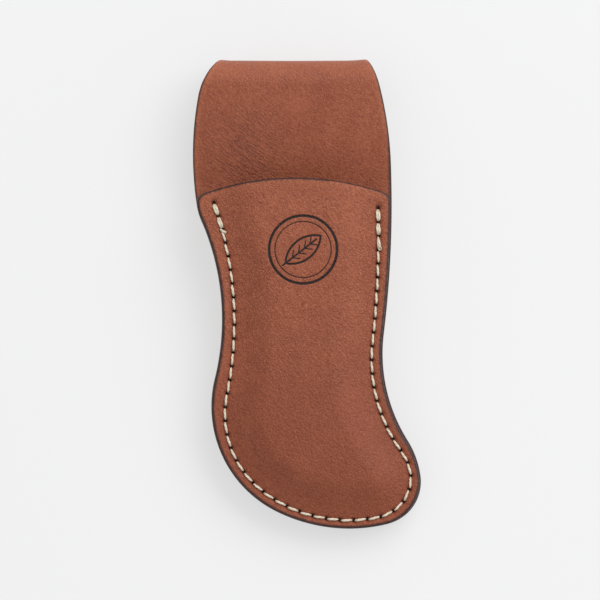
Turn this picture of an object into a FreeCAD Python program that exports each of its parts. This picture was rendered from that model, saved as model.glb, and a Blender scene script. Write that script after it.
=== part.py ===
import FreeCAD, Part
import math
import os

import Sketcher
from FreeCAD import Placement, Rotation, Vector

# A stitched leather belt sheath for a curved drawknife-like carving tool.
# Sheath frame while modelling, in millimetres: X across, Y from the toe to the fold of the
# belt loop, Z out of the front, with Z = 0 on the rear face of the back panel.
# The back panel runs up past the pouch as a strap, folds backward and comes down behind
# itself as the belt loop, whose tail is sewn to the back panel.

SIZES = [
    # leather and edges
    ("back_thickness", 3.2), ("welt_thickness", 3.0), ("front_thickness", 3.0),
    ("welt_width", 8.0),
    # outline of the sheath, from the left end of the fold down, round the toe and up:
    # tangent arcs, a positive turn bulging outward
    ("outline_x", -29.5), ("outline_y", 81.8), ("outline_heading", -130.0),
    ("fold_left_radius", 26.4), ("fold_left_turn", 29.7),
    ("strap_left_radius", 112.9), ("strap_left_turn", 19.0),
    ("shoulder_radius", 21.0), ("shoulder_turn", 15.0),
    ("neck_radius", 84.4), ("neck_turn", -37.6),
    ("heel_radius", 40.1), ("heel_turn", 77.1),
    ("belly_radius", 56.4), ("belly_turn", 40.4),
    ("toe_radius", 14.8), ("toe_turn", 84.0),
    ("cheek_radius", 30.9), ("cheek_turn", 24.5),
    ("waist_radius", 56.1), ("waist_turn", -39.1),
    ("hip_radius", 362.0), ("hip_turn", 9.2),
    ("strap_right_radius", 130.0), ("strap_right_turn", 12.7),
    ("fold_right_radius", 32.7), ("fold_right_turn", 12.8),
    # mouth of the pouch: the arched top edge of the front panel
    ("mouth_radius", 95.6), ("mouth_x", -1.9), ("mouth_y", 41.8), ("mouth_corner", 3.4),
    # crown of the front panel over the tool: its foot and its rim lie this far inside the main
    # seam's line, which carries on straight past the mouth; the hollow lies further in
    ("crown_height", 4.4), ("crown_foot", 2.0), ("crown_rim", 8.2), ("crown_shift", 0.9),
    ("crown_lead", 16.0),
    # side profile of the rear face of the back panel, strap and loop, seen along X
    ("panel_start", -95.0), ("panel_run", 132.5),
    ("rise_radius", 35.0), ("rise_turn", 12.0),
    ("ease_radius", 110.0), ("ease_turn", -12.0),
    ("crest_run", 6.2),
    ("bend_radius", 5.3), ("bend_turn", -180.0),
    ("loop_run", 50.0), ("tail_run", 14.5), ("glue_gap", 0.1),
    ("blank_width", 100.0),
    # tail of the belt loop, under the strap
    ("tail_left", -20.8), ("tail_right", 20.0), ("tail_taper_y", 52.0), ("tail_corner", 6.0),
    # main seam: tangent arcs through the middle of the stitch holes
    ("seam_x", -29.2), ("seam_y", 32.6), ("seam_heading", -69.9),
    ("seam_neck_radius", 114.7), ("seam_neck_turn", -32.5),
    ("seam_heel_radius", 33.2), ("seam_heel_turn", 71.1),
    ("seam_belly_radius", 52.8), ("seam_belly_turn", 40.9),
    ("seam_toe_radius", 13.8), ("seam_toe_turn", 92.4),
    ("seam_cheek_radius", 15.2), ("seam_cheek_turn", 25.5),
    ("seam_waist_radius", 50.0), ("seam_waist_turn", -43.7),
    ("seam_hip_radius", 359.0), ("seam_hip_turn", 7.5),
    ("seam_holes", 56),
    # box seam that holds the tail
    ("box_left", -16.5), ("box_right", 15.7), ("box_low", 12.5), ("box_high", 22.0),
    ("box_holes_across", 7), ("box_holes_up", 2),
    # thread and its holes and grooves
    ("thread_radius", 0.4), ("leg_offset", 0.42), ("elbow_radius", 0.5),
    ("hole_radius", 1.05), ("groove_half", 0.9), ("groove_slack", 0.05),
    ("front_thread_depth", 0.15), ("rear_thread_depth", 0.45), ("turn_gap", 0.05),
]

doc = FreeCAD.newDocument("belt_sheath")
sheet = doc.addObject("Spreadsheet::Sheet", "Sizes")
for row, (alias, number) in enumerate(SIZES, start=1):
    sheet.set("A%d" % row, alias)
    sheet.set("B%d" % row, str(number))
    sheet.setAlias("B%d" % row, alias)
doc.recompute()


def val(alias):
    """The number in one cell of the sheet."""
    return float(getattr(sheet, alias))


def cell(alias):
    """How an expression names one cell."""
    return "Sizes.%s" % alias


OUTLINE = ["fold_left", "strap_left", "shoulder", "neck", "heel", "belly",
           "toe", "cheek", "waist", "hip", "strap_right", "fold_right"]
SEAM = ["seam_neck", "seam_heel", "seam_belly", "seam_toe", "seam_cheek", "seam_waist", "seam_hip"]

# Heights of the stack of leathers at the seam, and of the fold's centre line
BACK_TOP = val("back_thickness")
WELT_TOP = BACK_TOP + val("welt_thickness")
RIM_TOP = WELT_TOP + val("front_thickness")
RISE = (val("rise_radius") + val("ease_radius")) * (1 - math.cos(math.radians(val("rise_turn"))))
RISE_RUN = (val("rise_radius") + val("ease_radius")) * math.sin(math.radians(val("rise_turn")))
FOLD_Y = val("panel_start") + val("panel_run") + RISE_RUN + val("crest_run")
FOLD_Z = RISE - val("bend_radius")
# The tail comes back up to the back panel in two equal and opposite arcs
LOOP_DROP = 2 * val("bend_radius") - RISE - val("glue_gap")
LOOP_TURN = 2 * math.degrees(math.atan(LOOP_DROP / val("loop_run")))
LOOP_RADIUS = val("loop_run") / (2 * math.sin(math.radians(LOOP_TURN)))

# Cutting sketches start well below the sheath and reach well past its fold and its sides
BELOW_ALL = -30.0
PAST_FOLD = 100.0
FRAME_MARGIN = 110.0
# Half the angle of the arc that cuts the mouth, in degrees, which reaches past both sides
MOUTH_SPREAD = 33.0


# ---------------------------------------------------------------- routes of tangent arcs

def arc_steps(names):
    """Arcs whose radius and turn are cells: (radius, turn, radius cell, turn cell)."""
    steps = []
    for name in names:
        radius, turn = name + "_radius", name + "_turn"
        steps.append((val(radius), val(turn), cell(radius), cell(turn)))
    return steps


def run_step(alias):
    """A straight run whose length is a cell."""
    return (None, val(alias), None, cell(alias))


def lay_out(start, heading, steps, inset=0.0):
    """Places the steps one after another, moved to the left of the route by inset.

    Gives one dict for each step, with its end points, its headings and, for an arc, its centre.
    """
    left = Vector(-math.sin(math.radians(heading)), math.cos(math.radians(heading)), 0)
    point = Vector(start[0], start[1], 0) + left * inset
    placed = []
    for radius, amount, radius_cell, amount_cell in steps:
        angle = math.radians(heading)
        step = {"start": point, "heading": heading, "cells": (radius_cell, amount_cell)}
        if radius is None:
            step["length"] = amount
            step["turn"] = 0.0
            point = point + Vector(math.cos(angle), math.sin(angle), 0) * amount
        else:
            side = 1 if amount > 0 else -1
            size = radius - side * inset
            centre = point + Vector(-math.sin(angle), math.cos(angle), 0) * (side * size)
            step.update(radius=size, side=side, centre=centre, turn=amount)
            step["length"] = size * math.radians(abs(amount))
            heading += amount
            angle = math.radians(heading)
            point = centre + Vector(math.sin(angle), -math.cos(angle), 0) * (side * size)
        step["end"] = point
        placed.append(step)
    return placed


def point_on(placed, distance):
    """The point and heading at a distance along a laid-out route."""
    for step in placed:
        if distance <= step["length"] + 1e-9 or step is placed[-1]:
            break
        distance -= step["length"]
    heading = step["heading"] + step["turn"] * distance / step["length"]
    angle = math.radians(heading)
    if step["turn"] == 0.0:
        point = step["start"] + Vector(math.cos(angle), math.sin(angle), 0) * distance
    else:
        outward = Vector(math.sin(angle), -math.cos(angle), 0) * (step["side"] * step["radius"])
        point = step["centre"] + outward
    return point, heading


def outline_route(inset=0.0):
    start = (val("outline_x"), val("outline_y"))
    return lay_out(start, val("outline_heading"), arc_steps(OUTLINE), inset)


def seam_route(inset=0.0):
    start = (val("seam_x"), val("seam_y"))
    return lay_out(start, val("seam_heading"), arc_steps(SEAM), inset)


def crown_route(inset):
    """The seam's line moved inward, with straight leads up past the mouth at both ends."""
    heading, lead = math.radians(val("seam_heading")), val("crown_lead")
    start = (val("seam_x") - lead * math.cos(heading), val("seam_y") - lead * math.sin(heading))
    steps = [run_step("crown_lead")] + arc_steps(SEAM) + [run_step("crown_lead")]
    return lay_out(start, val("seam_heading"), steps, inset)


# ---------------------------------------------------------------- sketch helpers

def new_body(name):
    body = doc.addObject("PartDesign::Body", name)
    body.Label = name
    return body


def new_sketch(body, name, role="XY_Plane", height=0.0):
    """A sketch on one of the body's own origin planes, lifted along the plane's normal."""
    sketch = body.newObject("Sketcher::SketchObject", name)
    plane = [item for item in body.Origin.OriginFeatures if item.Role == role][0]
    sketch.AttachmentSupport = [(plane, "")]
    sketch.MapMode = "FlatFace"
    sketch.AttachmentOffset = Placement(Vector(0, 0, height), Rotation())
    return sketch


def bind(sketch, constraint, expression):
    """Adds a constraint and lets the expression drive it."""
    index = sketch.addConstraint(constraint)
    sketch.setExpression("Constraints[%d]" % index, expression)


def draw_route(sketch, placed, inset_cell=None):
    """Draws a laid-out route and gives its first and last (geometry, point) pairs.

    Neighbours are tangent, and each radius and each run's length follows its cell. Where the
    route starts, and how far each arc turns, come from the layout.
    """
    ends = []
    for step in placed:
        if step["turn"] == 0.0:
            index = sketch.addGeometry(Part.LineSegment(step["start"], step["end"]), False)
            ends.append((index, 1, 2))
            continue
        first = math.radians(step["heading"] - 90 * step["side"])
        last = first + math.radians(step["turn"])
        circle = Part.Circle(step["centre"], Vector(0, 0, 1), step["radius"])
        arc = Part.ArcOfCircle(circle, min(first, last), max(first, last))
        index = sketch.addGeometry(arc, False)
        ends.append((index, 1, 2) if step["side"] > 0 else (index, 2, 1))
    for before, after in zip(ends, ends[1:]):
        joint = Sketcher.Constraint("Tangent", before[0], before[2], after[0], after[1])
        sketch.addConstraint(joint)
    for step, (index, _, _) in zip(placed, ends):
        radius_cell, amount_cell = step["cells"]
        if radius_cell is None:
            if amount_cell:
                bind(sketch, Sketcher.Constraint("Distance", index, step["length"]), amount_cell)
            continue
        sign = "-" if step["side"] > 0 else "+"
        expression = radius_cell if inset_cell is None else "%s %s %s" % (radius_cell, sign, inset_cell)
        bind(sketch, Sketcher.Constraint("Radius", index, step["radius"]), expression)
    return ends[0][:2], (ends[-1][0], ends[-1][2])


def draw_lines(sketch, points, first_end=None, last_end=None):
    """Draws straight lines through points and joins them to the ends of a route."""
    indexes = []
    for start, end in zip(points, points[1:]):
        line = Part.LineSegment(Vector(*start[:2], 0), Vector(*end[:2], 0))
        indexes.append(sketch.addGeometry(line, False))
    for before, after in zip(indexes, indexes[1:]):
        sketch.addConstraint(Sketcher.Constraint("Coincident", before, 2, after, 1))
    if first_end:
        sketch.addConstraint(Sketcher.Constraint("Coincident", first_end[0], first_end[1], indexes[0], 1))
    if last_end:
        sketch.addConstraint(Sketcher.Constraint("Coincident", last_end[0], last_end[1], indexes[-1], 2))
    if not first_end:
        sketch.addConstraint(Sketcher.Constraint("Coincident", indexes[-1], 2, indexes[0], 1))
    return indexes


def draw_loop(sketch, placed, inset_cell=None, top=None):
    """Draws a route as a closed loop, closed straight across or over a higher top."""
    first, last = draw_route(sketch, placed, inset_cell)
    start, end = placed[0]["start"], placed[-1]["end"]
    over = [(end.x, end.y)]
    if top is not None:
        over += [(end.x, top), (start.x, top)]
    over.append((start.x, start.y))
    draw_lines(sketch, over, last, first)


def draw_frame(sketch):
    """Draws a rectangle well outside the sheath."""
    far = FRAME_MARGIN
    corners = [(-far, -far), (far, -far), (far, far), (-far, far)]
    draw_lines(sketch, corners + corners[:1])


def draw_circles(sketch, centres, radius_cell, radius):
    """Draws one circle at each centre, all of one radius."""
    indexes = []
    for centre in centres:
        circle = Part.Circle(Vector(centre.x, centre.y, 0), Vector(0, 0, 1), radius)
        indexes.append(sketch.addGeometry(circle, False))
    for index in indexes[1:]:
        sketch.addConstraint(Sketcher.Constraint("Equal", indexes[0], index))
    bind(sketch, Sketcher.Constraint("Radius", indexes[0], radius), radius_cell)


def draw_band(sketch, route, half, half_cell):
    """Draws the strip of one width that follows a route, with square ends."""
    inner, outer = route(half), route(-half)
    inner_first, inner_last = draw_route(sketch, inner, half_cell)
    outer_first, outer_last = draw_route(sketch, outer, "(-%s)" % half_cell)
    draw_lines(sketch, [inner[-1]["end"], outer[-1]["end"]], inner_last, outer_last)
    draw_lines(sketch, [inner[0]["start"], outer[0]["start"]], inner_first, outer_first)


def solid_of(body):
    doc.recompute()
    return body.Shape.Volume


def pad(body, sketch, name, length_cell, symmetric=False):
    feature = body.newObject("PartDesign::Pad", name)
    feature.Profile = sketch
    feature.Midplane = symmetric
    feature.setExpression("Length", length_cell)
    doc.recompute()
    return feature


def pocket(body, sketch, name, upward, depth_cell=None):
    """Cuts a sketch into the body, up or down, by a depth or right through."""
    before = solid_of(body)
    feature = body.newObject("PartDesign::Pocket", name)
    feature.Profile = sketch
    feature.Reversed = upward
    if depth_cell is None:
        feature.Type = "ThroughAll"
    else:
        feature.Type = "Length"
        feature.setExpression("Length", depth_cell)
    after = solid_of(body)
    if after > before - 0.5:
        raise RuntimeError("pocket %s cuts nothing" % name)
    return feature


def loft(body, kind, name, sections):
    feature = body.newObject("PartDesign::" + kind, name)
    feature.Profile = sections[0]
    feature.Sections = sections[1:]
    feature.Ruled = True
    doc.recompute()
    return feature


# ---------------------------------------------------------------- holes and grooves

def seam_points():
    """The middle of each stitch hole of the main seam, and the seam's heading there."""
    placed = seam_route()
    count = int(val("seam_holes"))
    length = sum(step["length"] for step in placed)
    return [point_on(placed, length * index / (count - 1)) for index in range(count)]


def box_points():
    """The middle of each hole round the box seam, corner holes once, and the heading there."""
    low, high = val("box_low"), val("box_high")
    left, right = val("box_left"), val("box_right")
    across, up = int(val("box_holes_across")), int(val("box_holes_up"))
    corners = [Vector(left, low, 0), Vector(right, low, 0), Vector(right, high, 0), Vector(left, high, 0)]
    points = []
    for side, count in enumerate((across, up, across, up)):
        start, end = corners[side], corners[(side + 1) % 4]
        for index in range(count):
            points.append((start + (end - start) * (index / count), 90.0 * side))
    return points


def cut_stitch_holes(body, name, points):
    sketch = new_sketch(body, name + "_sketch", height=BELOW_ALL)
    draw_circles(sketch, [point for point, _ in points], cell("hole_radius"), val("hole_radius"))
    return pocket(body, sketch, name, upward=True)


def groove_depth(thread_depth):
    """How deep a groove is whose thread has its axis thread_depth below the surface."""
    return "%s + %s + %s" % (cell(thread_depth), cell("thread_radius"), cell("groove_slack"))


def cut_seam_groove(body, name, height, upward, thread_depth):
    sketch = new_sketch(body, name + "_sketch", height=height)
    draw_band(sketch, seam_route, val("groove_half"), cell("groove_half"))
    return pocket(body, sketch, name, upward, groove_depth(thread_depth))


def cut_box_groove(body, name, height, upward, thread_depth):
    """The rectangular groove of the box seam."""
    sketch = new_sketch(body, name + "_sketch", height=height)
    half = val("groove_half")
    for grow in (half, -half):
        left, right = val("box_left") - grow, val("box_right") + grow
        low, high = val("box_low") - grow, val("box_high") + grow
        corners = [(left, low), (right, low), (right, high), (left, high)]
        draw_lines(sketch, corners + corners[:1])
    return pocket(body, sketch, name, upward, groove_depth(thread_depth))


def cut_mouth(body, name):
    """Cuts the body off along the arch of the mouth, and rounds the two corners."""
    sketch = new_sketch(body, name + "_sketch", height=BELOW_ALL)
    radius = val("mouth_radius")
    centre = Vector(val("mouth_x"), val("mouth_y") - radius, 0)
    spread = math.radians(MOUTH_SPREAD)
    first, last = math.pi / 2 - spread, math.pi / 2 + spread
    arc = Part.ArcOfCircle(Part.Circle(centre, Vector(0, 0, 1), radius), first, last)
    index = sketch.addGeometry(arc, False)
    right = centre + Vector(math.cos(first), math.sin(first), 0) * radius
    left = centre + Vector(math.cos(last), math.sin(last), 0) * radius
    over = [left, (left.x, PAST_FOLD), (right.x, PAST_FOLD), right]
    draw_lines(sketch, over, (index, 2), (index, 1))
    bind(sketch, Sketcher.Constraint("Radius", index, radius), cell("mouth_radius"))
    cut = pocket(body, sketch, name, upward=True)
    corners = []
    for number, edge in enumerate(cut.Shape.Edges, start=1):
        ends = [vertex.Point for vertex in edge.Vertexes]
        if len(ends) < 2 or abs(ends[0].z - ends[1].z) < 1.0:
            continue
        upright = math.hypot(ends[0].x - ends[1].x, ends[0].y - ends[1].y) < 0.01
        outer = min(outline_gap(end) for end in ends) < 0.05
        on_arch = abs((Vector(ends[0].x, ends[0].y, 0) - centre).Length - radius) < 0.05
        if upright and outer and on_arch:
            corners.append("Edge%d" % number)
    fillet = body.newObject("PartDesign::Fillet", name + "_corners")
    fillet.Base = (cut, corners)
    fillet.setExpression("Radius", cell("mouth_corner"))
    doc.recompute()
    return fillet


def outline_gap(point):
    """How far a point is from the outline, across the sheath."""
    flat = Part.Vertex(point.x, point.y, 0)
    edges = []
    for step in outline_route():
        middle, _ = point_on([step], step["length"] / 2)
        edges.append(Part.Arc(step["start"], middle, step["end"]).toShape())
    return flat.distToShape(Part.Compound(edges))[0]


# ---------------------------------------------------------------- leather pieces

def make_back_panel():
    """Back of the pouch, strap, fold and tail: one piece of leather bent round."""
    body = new_body("back_panel")
    thickness = val("back_thickness")
    side = new_sketch(body, "side_profile", role="YZ_Plane")
    steps = [run_step("panel_run")] + arc_steps(["rise", "ease"]) + [run_step("crest_run")]
    steps += arc_steps(["bend"])
    steps += [(LOOP_RADIUS, -LOOP_TURN, None, None), (LOOP_RADIUS, LOOP_TURN, None, None)]
    steps.append(run_step("tail_run"))
    start = (val("panel_start"), 0.0)
    flesh = lay_out(start, 0.0, steps)
    grain = lay_out(start, 0.0, steps, inset=thickness)
    flesh_first, flesh_last = draw_route(side, flesh)
    grain_first, grain_last = draw_route(side, grain, cell("back_thickness"))
    draw_lines(side, [flesh[0]["start"], grain[0]["start"]], flesh_first, grain_first)
    draw_lines(side, [flesh[-1]["end"], grain[-1]["end"]], flesh_last, grain_last)
    pad(body, side, "bent_strip", cell("blank_width"), symmetric=True)

    face = new_sketch(body, "panel_outline", height=FOLD_Z)
    draw_frame(face)
    draw_loop(face, outline_route(), top=PAST_FOLD)
    pocket(body, face, "trim_panel", upward=True)

    back = new_sketch(body, "tail_outline", height=FOLD_Z)
    draw_frame(back)
    draw_tail(back)
    pocket(body, back, "trim_tail", upward=False)

    cut_stitch_holes(body, "seam_hole_row", seam_points())
    cut_seam_groove(body, "rear_groove", 0.0, True, "rear_thread_depth")
    cut_stitch_holes(body, "box_hole_row", box_points())
    cut_box_groove(body, "box_front_groove", BACK_TOP, False, "rear_thread_depth")
    tail_rear = -val("glue_gap") - thickness
    cut_box_groove(body, "box_rear_groove", tail_rear, True, "rear_thread_depth")
    return body


def draw_tail(sketch):
    """The tail's outline: as wide as the strap at the fold, then tapered to straight sides."""
    route = outline_route()
    top_left, top_right = route[0]["start"], route[-1]["end"]
    end_y = FOLD_Y - val("loop_run") - val("tail_run")
    left, right, corner = val("tail_left"), val("tail_right"), val("tail_corner")
    taper = val("tail_taper_y")
    low_left = Vector(left + corner, end_y + corner, 0)
    low_right = Vector(right - corner, end_y + corner, 0)
    arcs = []
    for centre, first in ((low_left, math.pi), (low_right, 1.5 * math.pi)):
        circle = Part.Circle(centre, Vector(0, 0, 1), corner)
        arcs.append(sketch.addGeometry(Part.ArcOfCircle(circle, first, first + math.pi / 2), False))
    bind(sketch, Sketcher.Constraint("Radius", arcs[0], corner), cell("tail_corner"))
    sketch.addConstraint(Sketcher.Constraint("Equal", arcs[0], arcs[1]))
    draw_lines(sketch, [(left + corner, end_y), (right - corner, end_y)], (arcs[0], 2), (arcs[1], 1))
    over = [(right, end_y + corner), (right, taper), top_right, (top_right.x, PAST_FOLD),
            (top_left.x, PAST_FOLD), top_left, (left, taper), (left, end_y + corner)]
    draw_lines(sketch, over, (arcs[1], 2), (arcs[0], 1))


def make_welt():
    """The U-shaped strip between the panels, which keeps the cutting edge off the thread."""
    body = new_body("welt")
    ring = new_sketch(body, "welt_outline", height=BACK_TOP)
    draw_loop(ring, outline_route())
    pad(body, ring, "welt_strip", cell("welt_thickness"))
    inner = new_sketch(body, "welt_inside", height=0.0)
    draw_loop(inner, outline_route(val("welt_width")), cell("welt_width"), top=PAST_FOLD)
    pocket(body, inner, "trim_inside", upward=True)
    cut_mouth(body, "mouth")
    cut_stitch_holes(body, "seam_hole_row", seam_points())
    return body


def make_front_panel():
    """The front of the pouch, wet-formed with a crown over the tool."""
    body = new_body("front_panel")
    face = new_sketch(body, "front_outline", height=WELT_TOP)
    draw_loop(face, outline_route())
    pad(body, face, "front_sheet", cell("front_thickness"))
    sections = []
    for name, height, shift in (("outside", RIM_TOP, 0.0), ("inside", WELT_TOP, val("crown_shift"))):
        for level, inset_name in ((0.0, "crown_foot"), (val("crown_height"), "crown_rim")):
            sketch = new_sketch(body, "crown_%s_%s" % (name, inset_name), height=height + level)
            inset_cell = cell(inset_name)
            if shift:
                inset_cell = "(%s + %s)" % (inset_cell, cell("crown_shift"))
            draw_loop(sketch, crown_route(val(inset_name) + shift), inset_cell)
            sections.append(sketch)
    loft(body, "AdditiveLoft", "crown", sections[:2])
    loft(body, "SubtractiveLoft", "crown_hollow", sections[2:])
    cut_mouth(body, "mouth")
    floor = RIM_TOP - val("front_thread_depth") - val("thread_radius") - val("groove_slack")
    cut_seam_groove(body, "front_groove", floor, True, "front_thread_depth")
    cut_stitch_holes(body, "seam_hole_row", seam_points())
    return body


# ---------------------------------------------------------------- threads

def seam_visits():
    """The order in which the main thread enters the holes, with back-tacked ends.

    Each visit is (point, heading, arriving leg, leaving leg); a leg is (along, across) in
    units of the leg offset, or None where the thread starts or ends.
    """
    points = seam_points()
    last = len(points) - 1
    visits = []

    def visit(index, arriving, leaving):
        point, heading = points[index]
        visits.append((point, heading, arriving, leaving))

    visit(2, None, (-1, 1))
    visit(1, (1, 1), (-1, 1))
    visit(0, (0, 1), (0, -1))
    visit(1, (-1, -1), (1, -1))
    visit(2, (-1, -1), (1, -1))
    for index in range(3, last - 3):
        visit(index, (-1, 0), (1, 0))
    visit(last - 3, (-1, -1), (1, -1))
    visit(last - 2, (-1, -1), (1, -1))
    visit(last - 1, (-1, -1), (1, -1))
    visit(last, (0, -1), (0, 1))
    visit(last - 1, (1, 1), (-1, 1))
    visit(last - 2, (1, 1), (-1, 1))
    visit(last - 3, (1, 1), None)
    return visits


def box_visits():
    """Once round the box seam; a corner hole is entered along one side and left along the next."""
    points = box_points()
    count = len(points)
    visits = []
    for index in range(count + 1):
        point, heading = points[index % count]
        arriving = None if index == 0 else (-1, 0)
        leaving = None if index == count else (1, 0)
        visits.append((point, heading, arriving, leaving))
    return visits


def thread_edges(visits, surface, turn_height):
    """Straight runs and arcs of one thread, all tangent.

    The thread lies at the height of surface between holes, and in each hole it goes to
    turn_height and back.
    """
    offset, elbow = val("leg_offset"), val("elbow_radius")
    up = 1 if surface > turn_height else -1
    inward = Vector(0, 0, -up)
    legs = []
    for point, heading, arriving, leaving in visits:
        angle = math.radians(heading)
        along = Vector(math.cos(angle), math.sin(angle), 0)
        across = Vector(-math.sin(angle), math.cos(angle), 0)
        pair = []
        for leg in (arriving, leaving):
            place = None
            if leg is not None:
                place = point + along * (leg[0] * offset) + across * (leg[1] * offset)
            pair.append(place)
        legs.append(pair)
    edges = []

    def line(start, end):
        edges.append(Part.LineSegment(start, end).toShape())

    def arc(start, middle, end):
        edges.append(Part.Arc(start, middle, end).toShape())

    for number, (arriving, leaving) in enumerate(legs):
        if arriving is not None and leaving is not None:
            low_in = Vector(arriving.x, arriving.y, turn_height)
            low_out = Vector(leaving.x, leaving.y, turn_height)
            reach = (low_out - low_in).Length / 2
            arc(low_in, (low_in + low_out) * 0.5 + inward * reach, low_out)
        if leaving is None:
            break
        following = legs[number + 1][0]
        run = (following - leaving).normalize()
        shoulder = surface - up * elbow
        leg_top = Vector(leaving.x, leaving.y, shoulder)
        next_top = Vector(following.x, following.y, shoulder)
        lift, slant = Vector(0, 0, up) * elbow, math.sqrt(0.5)
        line(Vector(leaving.x, leaving.y, turn_height), leg_top)
        arc(leg_top, leg_top + run * (elbow * (1 - slant)) + lift * slant, leg_top + run * elbow + lift)
        line(leg_top + run * elbow + lift, next_top - run * elbow + lift)
        arc(next_top - run * elbow + lift,
            next_top - run * (elbow * (1 - slant)) + lift * slant, next_top)
        line(next_top, Vector(following.x, following.y, turn_height))
    return edges


def make_thread(name, visits, surface, turn_height):
    """A thread swept along its route, with the round section bound to the sheet."""
    route = doc.addObject("Part::Feature", name + "_route")
    route.Shape = Part.Wire(thread_edges(visits, surface, turn_height))
    section = doc.addObject("Part::Circle", name + "_section")
    section.setExpression("Radius", cell("thread_radius"))
    start = route.Shape.Edges[0].Vertexes[0].Point
    section.Placement = Placement(start, Rotation())
    sweep = doc.addObject("Part::Sweep", name)
    sweep.Label = name
    sweep.Sections = [section]
    sweep.Spine = (route, ["Edge%d" % (i + 1) for i in range(len(route.Shape.Edges))])
    sweep.Solid = True
    sweep.Frenet = False
    sweep.Transition = "Transformed"
    doc.recompute()
    wire = route.Shape
    area = math.pi * val("thread_radius") ** 2
    print("%s: length %.1f mm, volume %.2f, section times length %.2f"
          % (name, wire.Length, sweep.Shape.Volume, area * wire.Length))
    return sweep


def make_threads():
    """Needle and bobbin threads of both seams; each pair turns back in mid-leather."""
    clear = val("leg_offset") + val("thread_radius") + val("turn_gap") / 2
    main_middle = RIM_TOP / 2
    front = RIM_TOP - val("front_thread_depth")
    rear = val("rear_thread_depth")
    tail_rear = val("rear_thread_depth") - val("back_thickness") - val("glue_gap")
    inner = BACK_TOP - val("rear_thread_depth")
    seam, box = seam_visits(), box_visits()
    return [
        make_thread("seam_needle_thread", seam, front, main_middle + clear),
        make_thread("seam_bobbin_thread", seam, rear, main_middle - clear),
        make_thread("loop_needle_thread", box, tail_rear, -clear),
        make_thread("loop_bobbin_thread", box, inner, clear),
    ]


# ---------------------------------------------------------------- resting position

def rest_placement(shapes):
    """The sheath lying on its back: the loop's lowest face and the toe touch Z = 0."""
    toe = min(min(step["start"].y, lowest_of(step)) for step in outline_route())
    radius = LOOP_RADIUS + val("back_thickness")
    centre_y = FOLD_Y - toe
    centre_z = FOLD_Z - val("bend_radius") - val("back_thickness") + radius
    reach = math.hypot(centre_y, centre_z)
    tilt = math.degrees(math.asin(radius / reach) - math.atan2(centre_z, centre_y))
    turn = Placement(Vector(0, 0, 0), Rotation(Vector(1, 0, 0), tilt))
    box = FreeCAD.BoundBox()
    for shape in shapes:
        copy = shape.copy()
        copy.Placement = turn.multiply(copy.Placement)
        box.add(copy.optimalBoundingBox(False))
    middle = Vector(box.Center.x, box.Center.y, box.ZMin)
    print("rest tilt %.4f degrees, moved by %.4f %.4f %.4f mm" % (tilt, -middle.x, -middle.y, -middle.z))
    return Placement(middle * -1, Rotation()).multiply(turn)


def lowest_of(step):
    """The lowest Y that an arc of the outline reaches."""
    first = step["heading"]
    last = first + step["turn"]
    if first < 0 < last:
        return step["centre"].y - step["radius"]
    return step["end"].y


def check_and_write(nodes):
    for item in doc.Objects:
        if "Invalid" in item.State or "Error" in item.State:
            raise RuntimeError("%s: %s" % (item.Label, item.State))
    for node in nodes:
        if node.Shape.isNull() or not node.Shape.isValid():
            raise RuntimeError("%s has no valid shape" % node.Label)
    os.makedirs("parts", exist_ok=True)
    for node in nodes:
        node.Shape.exportStep(os.path.join("parts", node.Label + ".step"))
        box = node.Shape.BoundBox
        print("%s: volume %.1f, %.1f x %.1f x %.1f" %
              (node.Label, node.Shape.Volume, box.XLength, box.YLength, box.ZLength))


nodes = [make_back_panel(), make_welt(), make_front_panel()] + make_threads()
doc.recompute()
resting = rest_placement([node.Shape for node in nodes])
for node in nodes:
    node.Placement = resting
check_and_write(nodes)
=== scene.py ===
import math

import bpy
import numpy as np
from mathutils import Matrix, Vector
from mathutils.geometry import delaunay_2d_cdt


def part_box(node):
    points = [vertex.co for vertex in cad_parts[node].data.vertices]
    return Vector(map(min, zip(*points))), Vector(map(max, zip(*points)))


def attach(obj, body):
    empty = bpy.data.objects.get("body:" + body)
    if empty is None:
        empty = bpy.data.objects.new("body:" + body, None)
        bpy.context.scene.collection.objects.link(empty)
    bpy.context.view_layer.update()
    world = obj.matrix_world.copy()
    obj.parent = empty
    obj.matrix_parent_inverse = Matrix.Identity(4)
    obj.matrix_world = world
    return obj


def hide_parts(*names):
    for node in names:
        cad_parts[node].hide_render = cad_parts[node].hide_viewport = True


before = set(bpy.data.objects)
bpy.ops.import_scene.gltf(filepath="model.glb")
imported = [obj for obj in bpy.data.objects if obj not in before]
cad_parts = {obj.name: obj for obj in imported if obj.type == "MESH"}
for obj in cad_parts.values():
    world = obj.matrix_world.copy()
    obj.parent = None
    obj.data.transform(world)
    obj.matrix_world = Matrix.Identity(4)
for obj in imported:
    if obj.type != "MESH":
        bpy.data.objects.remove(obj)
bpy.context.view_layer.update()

noise = np.random.default_rng(7)

# Shapes are worked out in the sheath's own frame, in millimetres, as part.py does: X across,
# Y from the toe to the fold, Z out of the front, Z = 0 on the rear face of the back panel.

# ------------------------------------------------------------------ driving dimensions

BACK, WELT, FRONT = 3.2, 3.0, 3.0          # leather thicknesses
WELT_WIDTH = 8.0
BACK_TOP = BACK
WELT_TOP = BACK + WELT
RIM_TOP = WELT_TOP + FRONT

OUTLINE_START, OUTLINE_HEADING = (-29.5, 81.8), -130.0
OUTLINE = [                                # (radius, turn): tangent arcs, + bulges outward
    (26.4, 29.7), (112.9, 19.0), (21.0, 15.0), (84.4, -37.6), (40.1, 77.1), (56.4, 40.4),
    (14.8, 84.0), (30.9, 24.5), (56.1, -39.1), (362.0, 9.2), (130.0, 12.7), (32.7, 12.8),
]
SEAM_START, SEAM_HEADING = (-29.8, 33.0), -70.5
SEAM = [
    (122.2, -31.2), (33.4, 65.9), (48.7, 48.7), (13.5, 91.1), (15.0, 22.6), (53.8, -43.0),
    (324.3, 8.1),
]
SEAM_HOLES = 56

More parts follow.
